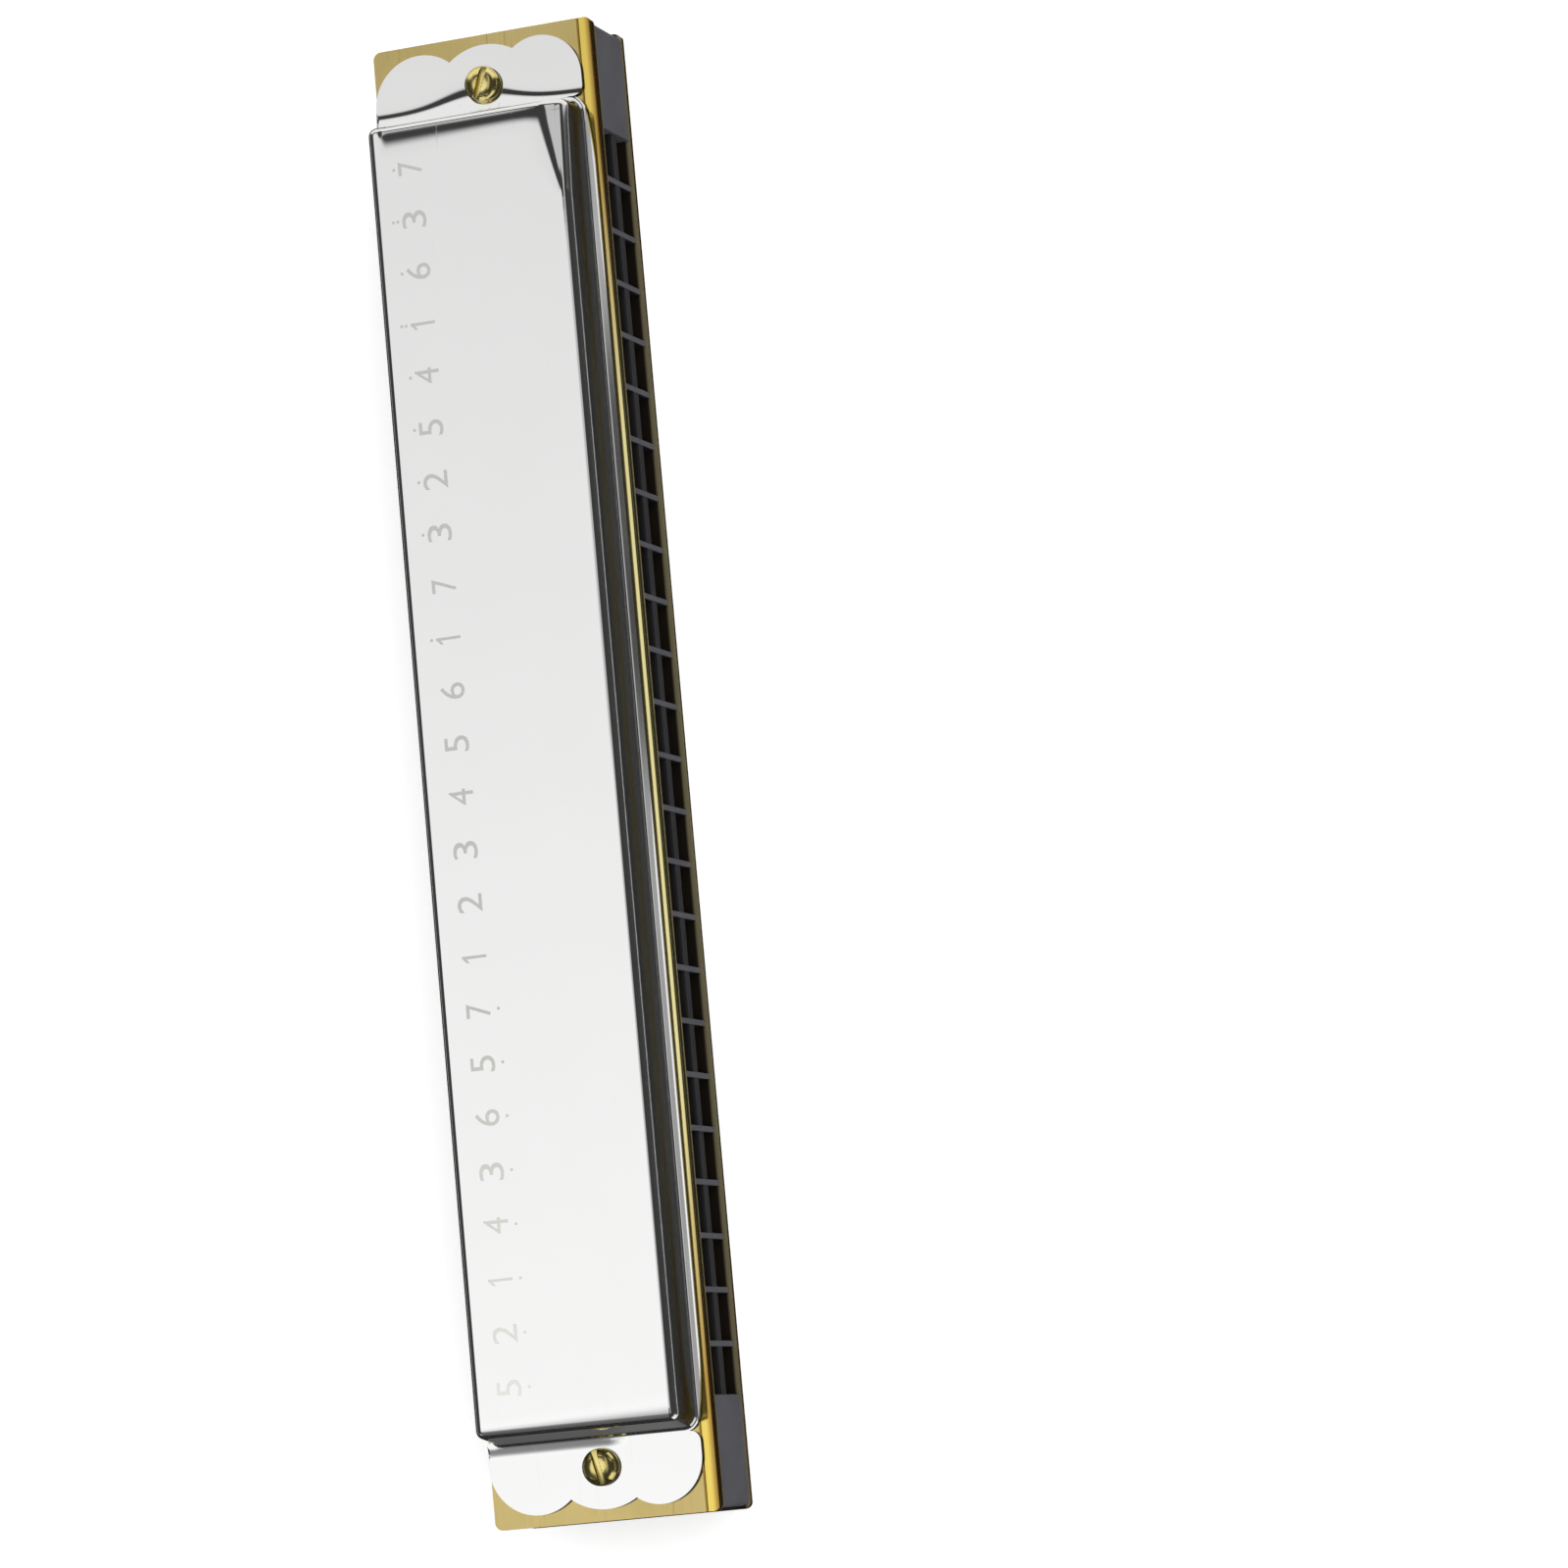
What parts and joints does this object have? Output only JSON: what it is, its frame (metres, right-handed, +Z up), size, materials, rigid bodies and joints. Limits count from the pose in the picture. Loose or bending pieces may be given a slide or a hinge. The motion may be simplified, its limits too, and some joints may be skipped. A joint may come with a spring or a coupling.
{
  "type": "tremolo harmonica",
  "caption": "Long tremolo harmonica with a plastic comb between two brass reed plates, chromed covers open at the rear, and sprung reeds.",
  "frame": {"origin": "centre of the instrument's length and depth, on the face of the lower cover that it rests on", "axes": "+X along the notes from low to high, +Y from the mouth side to the open rear, +Z up through the covers"},
  "size_m": [0.184, 0.0292, 0.0247],
  "materials": {
    "covers": "mirror polished chrome over pressed steel sheet, with fine scuffs",
    "reed_plates": "rolled brass, lightly brushed, brighter along the rounded mouth edge",
    "reeds": "filed spring brass",
    "fasteners": "polished brass",
    "comb": "moulded black plastic with a slight sheen"
  },
  "bodies": {
    "root": {"comb": "comb", "upper_reed_plate": "reed_plates", "lower_reed_plate": "reed_plates", "upper_cover": "covers", "lower_cover": "covers", "plate_pin_1": "fasteners", "plate_pin_2": "fasteners", "plate_pin_3": "fasteners", "bolt_low_end": "fasteners", "bolt_high_end": "fasteners", "nut_low_end": "fasteners", "nut_high_end": "fasteners"},
    "reed_upper_01": {"reed_upper_01": "reeds"},
    "reed_upper_02": {"reed_upper_02": "reeds"},
    "reed_upper_03": {"reed_upper_03": "reeds"},
    "reed_upper_04": {"reed_upper_04": "reeds"},
    "reed_upper_05": {"reed_upper_05": "reeds"},
    "reed_upper_06": {"reed_upper_06": "reeds"},
    "reed_upper_07": {"reed_upper_07": "reeds"},
    "reed_upper_08": {"reed_upper_08": "reeds"},
    "reed_upper_09": {"reed_upper_09": "reeds"},
    "reed_upper_10": {"reed_upper_10": "reeds"},
    "reed_upper_11": {"reed_upper_11": "reeds"},
    "reed_upper_12": {"reed_upper_12": "reeds"},
    "reed_upper_13": {"reed_upper_13": "reeds"},
    "reed_upper_14": {"reed_upper_14": "reeds"},
    "reed_upper_15": {"reed_upper_15": "reeds"},
    "reed_upper_16": {"reed_upper_16": "reeds"},
    "reed_upper_17": {"reed_upper_17": "reeds"},
    "reed_upper_18": {"reed_upper_18": "reeds"},
    "reed_upper_19": {"reed_upper_19": "reeds"},
    "reed_upper_20": {"reed_upper_20": "reeds"},
    "reed_upper_21": {"reed_upper_21": "reeds"},
    "reed_upper_22": {"reed_upper_22": "reeds"},
    "reed_upper_23": {"reed_upper_23": "reeds"},
    "reed_upper_24": {"reed_upper_24": "reeds"},
    "reed_lower_01": {"reed_lower_01": "reeds"},
    "reed_lower_02": {"reed_lower_02": "reeds"},
    "reed_lower_03": {"reed_lower_03": "reeds"},
    "reed_lower_04": {"reed_lower_04": "reeds"},
    "reed_lower_05": {"reed_lower_05": "reeds"},
    "reed_lower_06": {"reed_lower_06": "reeds"},
    "reed_lower_07": {"reed_lower_07": "reeds"},
    "reed_lower_08": {"reed_lower_08": "reeds"},
    "reed_lower_09": {"reed_lower_09": "reeds"},
    "reed_lower_10": {"reed_lower_10": "reeds"},
    "reed_lower_11": {"reed_lower_11": "reeds"},
    "reed_lower_12": {"reed_lower_12": "reeds"},
    "reed_lower_13": {"reed_lower_13": "reeds"},
    "reed_lower_14": {"reed_lower_14": "reeds"},
    "reed_lower_15": {"reed_lower_15": "reeds"},
    "reed_lower_16": {"reed_lower_16": "reeds"},
    "reed_lower_17": {"reed_lower_17": "reeds"},
    "reed_lower_18": {"reed_lower_18": "reeds"},
    "reed_lower_19": {"reed_lower_19": "reeds"},
    "reed_lower_20": {"reed_lower_20": "reeds"},
    "reed_lower_21": {"reed_lower_21": "reeds"},
    "reed_lower_22": {"reed_lower_22": "reeds"},
    "reed_lower_23": {"reed_lower_23": "reeds"},
    "reed_lower_24": {"reed_lower_24": "reeds"}
  },
  "joints": [
    {"name": "reed_upper_01_swing", "type": "hinge", "parent": "root", "child": "reed_upper_01", "pos_m": [-0.07521, -0.0077, 0.01762], "axis": [1, 0, 0], "range_deg": [-4, 4], "stiffness_Nm_per_rad": 0.0041},
    {"name": "reed_upper_02_swing", "type": "hinge", "parent": "root", "child": "reed_upper_02", "pos_m": [-0.06867, 0.00907, 0.01762], "axis": [1, 0, 0], "range_deg": [-4, 4], "stiffness_Nm_per_rad": 0.0037},
    {"name": "reed_upper_03_swing", "type": "hinge", "parent": "root", "child": "reed_upper_03", "pos_m": [-0.06213, -0.00724, 0.01762], "axis": [1, 0, 0], "range_deg": [-4, 4], "stiffness_Nm_per_rad": 0.0034},
    {"name": "reed_upper_04_swing", "type": "hinge", "parent": "root", "child": "reed_upper_04", "pos_m": [-0.05559, 0.00862, 0.01762], "axis": [1, 0, 0], "range_deg": [-4, 4], "stiffness_Nm_per_rad": 0.0031},
    {"name": "reed_upper_05_swing", "type": "hinge", "parent": "root", "child": "reed_upper_05", "pos_m": [-0.04905, -0.00681, 0.01762], "axis": [1, 0, 0], "range_deg": [-4, 4], "stiffness_Nm_per_rad": 0.0029},
    {"name": "reed_upper_06_swing", "type": "hinge", "parent": "root", "child": "reed_upper_06", "pos_m": [-0.04251, 0.0082, 0.01762], "axis": [1, 0, 0], "range_deg": [-4, 4], "stiffness_Nm_per_rad": 0.0027},
    {"name": "reed_upper_07_swing", "type": "hinge", "parent": "root", "child": "reed_upper_07", "pos_m": [-0.03597, -0.0064, 0.01762], "axis": [1, 0, 0], "range_deg": [-4, 4], "stiffness_Nm_per_rad": 0.0024},
    {"name": "reed_upper_08_swing", "type": "hinge", "parent": "root", "child": "reed_upper_08", "pos_m": [-0.02943, 0.0078, 0.01762], "axis": [1, 0, 0], "range_deg": [-4, 4], "stiffness_Nm_per_rad": 0.0022},
    {"name": "reed_upper_09_swing", "type": "hinge", "parent": "root", "child": "reed_upper_09", "pos_m": [-0.02289, -0.00601, 0.01762], "axis": [1, 0, 0], "range_deg": [-4, 4], "stiffness_Nm_per_rad": 0.0021},
    {"name": "reed_upper_10_swing", "type": "hinge", "parent": "root", "child": "reed_upper_10", "pos_m": [-0.01635, 0.00743, 0.01762], "axis": [1, 0, 0], "range_deg": [-4, 4], "stiffness_Nm_per_rad": 0.0019},
    {"name": "reed_upper_11_swing", "type": "hinge", "parent": "root", "child": "reed_upper_11", "pos_m": [-0.00981, -0.00565, 0.01762], "axis": [1, 0, 0], "range_deg": [-4, 4], "stiffness_Nm_per_rad": 0.0017},
    {"name": "reed_upper_12_swing", "type": "hinge", "parent": "root", "child": "reed_upper_12", "pos_m": [-0.00327, 0.00707, 0.01762], "axis": [1, 0, 0], "range_deg": [-4, 4], "stiffness_Nm_per_rad": 0.0016},
    {"name": "reed_upper_13_swing", "type": "hinge", "parent": "root", "child": "reed_upper_13", "pos_m": [0.00327, -0.0053, 0.01762], "axis": [1, 0, 0], "range_deg": [-4, 4], "stiffness_Nm_per_rad": 0.0015},
    {"name": "reed_upper_14_swing", "type": "hinge", "parent": "root", "child": "reed_upper_14", "pos_m": [0.00981, 0.00673, 0.01762], "axis": [1, 0, 0], "range_deg": [-4, 4], "stiffness_Nm_per_rad": 0.0014},
    {"name": "reed_upper_15_swing", "type": "hinge", "parent": "root", "child": "reed_upper_15", "pos_m": [0.01635, -0.00497, 0.01762], "axis": [1, 0, 0], "range_deg": [-4, 4], "stiffness_Nm_per_rad": 0.0013},
    {"name": "reed_upper_16_swing", "type": "hinge", "parent": "root", "child": "reed_upper_16", "pos_m": [0.02289, 0.00641, 0.01762], "axis": [1, 0, 0], "range_deg": [-4, 4], "stiffness_Nm_per_rad": 0.0012},
    {"name": "reed_upper_17_swing", "type": "hinge", "parent": "root", "child": "reed_upper_17", "pos_m": [0.02943, -0.00466, 0.01762], "axis": [1, 0, 0], "range_deg": [-4, 4], "stiffness_Nm_per_rad": 0.0011},
    {"name": "reed_upper_18_swing", "type": "hinge", "parent": "root", "child": "reed_upper_18", "pos_m": [0.03597, 0.00611, 0.01762], "axis": [1, 0, 0], "range_deg": [-4, 4], "stiffness_Nm_per_rad": 0.00098},
    {"name": "reed_upper_19_swing", "type": "hinge", "parent": "root", "child": "reed_upper_19", "pos_m": [0.04251, -0.00437, 0.01762], "axis": [1, 0, 0], "range_deg": [-4, 4], "stiffness_Nm_per_rad": 0.0009},
    {"name": "reed_upper_20_swing", "type": "hinge", "parent": "root", "child": "reed_upper_20", "pos_m": [0.04905, 0.00583, 0.01762], "axis": [1, 0, 0], "range_deg": [-4, 4], "stiffness_Nm_per_rad": 0.00083},
    {"name": "reed_upper_21_swing", "type": "hinge", "parent": "root", "child": "reed_upper_21", "pos_m": [0.05559, -0.00409, 0.01762], "axis": [1, 0, 0], "range_deg": [-4, 4], "stiffness_Nm_per_rad": 0.00077},
    {"name": "reed_upper_22_swing", "type": "hinge", "parent": "root", "child": "reed_upper_22", "pos_m": [0.06213, 0.00556, 0.01762], "axis": [1, 0, 0], "range_deg": [-4, 4], "stiffness_Nm_per_rad": 0.00071},
    {"name": "reed_upper_23_swing", "type": "hinge", "parent": "root", "child": "reed_upper_23", "pos_m": [0.06867, -0.00383, 0.01762], "axis": [1, 0, 0], "range_deg": [-4, 4], "stiffness_Nm_per_rad": 0.00065},
    {"name": "reed_upper_24_swing", "type": "hinge", "parent": "root", "child": "reed_upper_24", "pos_m": [0.07521, 0.0053, 0.01762], "axis": [1, 0, 0], "range_deg": [-4, 4], "stiffness_Nm_per_rad": 0.0006},
    {"name": "reed_lower_01_swing", "type": "hinge", "parent": "root", "child": "reed_lower_01", "pos_m": [-0.07521, -0.0077, 0.00707], "axis": [1, 0, 0], "range_deg": [-4, 4], "stiffness_Nm_per_rad": 0.0041},
    {"name": "reed_lower_02_swing", "type": "hinge", "parent": "root", "child": "reed_lower_02", "pos_m": [-0.06867, 0.00907, 0.00707], "axis": [1, 0, 0], "range_deg": [-4, 4], "stiffness_Nm_per_rad": 0.0037},
    {"name": "reed_lower_03_swing", "type": "hinge", "parent": "root", "child": "reed_lower_03", "pos_m": [-0.06213, -0.00724, 0.00707], "axis": [1, 0, 0], "range_deg": [-4, 4], "stiffness_Nm_per_rad": 0.0034},
    {"name": "reed_lower_04_swing", "type": "hinge", "parent": "root", "child": "reed_lower_04", "pos_m": [-0.05559, 0.00862, 0.00707], "axis": [1, 0, 0], "range_deg": [-4, 4], "stiffness_Nm_per_rad": 0.0031},
    {"name": "reed_lower_05_swing", "type": "hinge", "parent": "root", "child": "reed_lower_05", "pos_m": [-0.04905, -0.00681, 0.00707], "axis": [1, 0, 0], "range_deg": [-4, 4], "stiffness_Nm_per_rad": 0.0029},
    {"name": "reed_lower_06_swing", "type": "hinge", "parent": "root", "child": "reed_lower_06", "pos_m": [-0.04251, 0.0082, 0.00707], "axis": [1, 0, 0], "range_deg": [-4, 4], "stiffness_Nm_per_rad": 0.0027},
    {"name": "reed_lower_07_swing", "type": "hinge", "parent": "root", "child": "reed_lower_07", "pos_m": [-0.03597, -0.0064, 0.00707], "axis": [1, 0, 0], "range_deg": [-4, 4], "stiffness_Nm_per_rad": 0.0024},
    {"name": "reed_lower_08_swing", "type": "hinge", "parent": "root", "child": "reed_lower_08", "pos_m": [-0.02943, 0.0078, 0.00707], "axis": [1, 0, 0], "range_deg": [-4, 4], "stiffness_Nm_per_rad": 0.0022},
    {"name": "reed_lower_09_swing", "type": "hinge", "parent": "root", "child": "reed_lower_09", "pos_m": [-0.02289, -0.00601, 0.00707], "axis": [1, 0, 0], "range_deg": [-4, 4], "stiffness_Nm_per_rad": 0.0021},
    {"name": "reed_lower_10_swing", "type": "hinge", "parent": "root", "child": "reed_lower_10", "pos_m": [-0.01635, 0.00743, 0.00707], "axis": [1, 0, 0], "range_deg": [-4, 4], "stiffness_Nm_per_rad": 0.0019},
    {"name": "reed_lower_11_swing", "type": "hinge", "parent": "root", "child": "reed_lower_11", "pos_m": [-0.00981, -0.00565, 0.00707], "axis": [1, 0, 0], "range_deg": [-4, 4], "stiffness_Nm_per_rad": 0.0017},
    {"name": "reed_lower_12_swing", "type": "hinge", "parent": "root", "child": "reed_lower_12", "pos_m": [-0.00327, 0.00707, 0.00707], "axis": [1, 0, 0], "range_deg": [-4, 4], "stiffness_Nm_per_rad": 0.0016},
    {"name": "reed_lower_13_swing", "type": "hinge", "parent": "root", "child": "reed_lower_13", "pos_m": [0.00327, -0.0053, 0.00707], "axis": [1, 0, 0], "range_deg": [-4, 4], "stiffness_Nm_per_rad": 0.0015},
    {"name": "reed_lower_14_swing", "type": "hinge", "parent": "root", "child": "reed_lower_14", "pos_m": [0.00981, 0.00673, 0.00707], "axis": [1, 0, 0], "range_deg": [-4, 4], "stiffness_Nm_per_rad": 0.0014},
    {"name": "reed_lower_15_swing", "type": "hinge", "parent": "root", "child": "reed_lower_15", "pos_m": [0.01635, -0.00497, 0.00707], "axis": [1, 0, 0], "range_deg": [-4, 4], "stiffness_Nm_per_rad": 0.0013},
    {"name": "reed_lower_16_swing", "type": "hinge", "parent": "root", "child": "reed_lower_16", "pos_m": [0.02289, 0.00641, 0.00707], "axis": [1, 0, 0], "range_deg": [-4, 4], "stiffness_Nm_per_rad": 0.0012},
    {"name": "reed_lower_17_swing", "type": "hinge", "parent": "root", "child": "reed_lower_17", "pos_m": [0.02943, -0.00466, 0.00707], "axis": [1, 0, 0], "range_deg": [-4, 4], "stiffness_Nm_per_rad": 0.0011},
    {"name": "reed_lower_18_swing", "type": "hinge", "parent": "root", "child": "reed_lower_18", "pos_m": [0.03597, 0.00611, 0.00707], "axis": [1, 0, 0], "range_deg": [-4, 4], "stiffness_Nm_per_rad": 0.00098},
    {"name": "reed_lower_19_swing", "type": "hinge", "parent": "root", "child": "reed_lower_19", "pos_m": [0.04251, -0.00437, 0.00707], "axis": [1, 0, 0], "range_deg": [-4, 4], "stiffness_Nm_per_rad": 0.0009},
    {"name": "reed_lower_20_swing", "type": "hinge", "parent": "root", "child": "reed_lower_20", "pos_m": [0.04905, 0.00583, 0.00707], "axis": [1, 0, 0], "range_deg": [-4, 4], "stiffness_Nm_per_rad": 0.00083},
    {"name": "reed_lower_21_swing", "type": "hinge", "parent": "root", "child": "reed_lower_21", "pos_m": [0.05559, -0.00409, 0.00707], "axis": [1, 0, 0], "range_deg": [-4, 4], "stiffness_Nm_per_rad": 0.00077},
    {"name": "reed_lower_22_swing", "type": "hinge", "parent": "root", "child": "reed_lower_22", "pos_m": [0.06213, 0.00556, 0.00707], "axis": [1, 0, 0], "range_deg": [-4, 4], "stiffness_Nm_per_rad": 0.00071},
    {"name": "reed_lower_23_swing", "type": "hinge", "parent": "root", "child": "reed_lower_23", "pos_m": [0.06867, -0.00383, 0.00707], "axis": [1, 0, 0], "range_deg": [-4, 4], "stiffness_Nm_per_rad": 0.00065},
    {"name": "reed_lower_24_swing", "type": "hinge", "parent": "root", "child": "reed_lower_24", "pos_m": [0.07521, 0.0053, 0.00707], "axis": [1, 0, 0], "range_deg": [-4, 4], "stiffness_Nm_per_rad": 0.0006}
  ]
}
